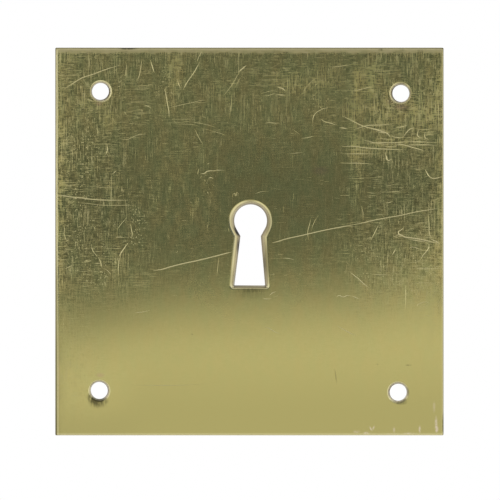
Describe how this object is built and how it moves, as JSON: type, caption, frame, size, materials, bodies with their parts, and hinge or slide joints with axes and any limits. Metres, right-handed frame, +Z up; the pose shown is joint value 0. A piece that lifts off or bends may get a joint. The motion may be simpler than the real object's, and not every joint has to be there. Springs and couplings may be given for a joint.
{
  "type": "keyhole escutcheon",
  "caption": "Square sheet-brass keyhole escutcheon with a rounded-lip keyhole in the middle and a flared screw hole near each corner.",
  "frame": {"origin": "middle of the back face, which lies against the door or drawer front", "axes": "+Z up as it is fixed, with the keyhole's round end above its foot; +X to the right seen from the front; +Y into the door, so the front faces -Y"},
  "size_m": [0.1, 0.002, 0.0998],
  "materials": {
    "worn_brass": "polished once, now scratched and hazed"
  },
  "bodies": {
    "root": {"escutcheon_plate": "worn_brass"}
  },
  "joints": []
}
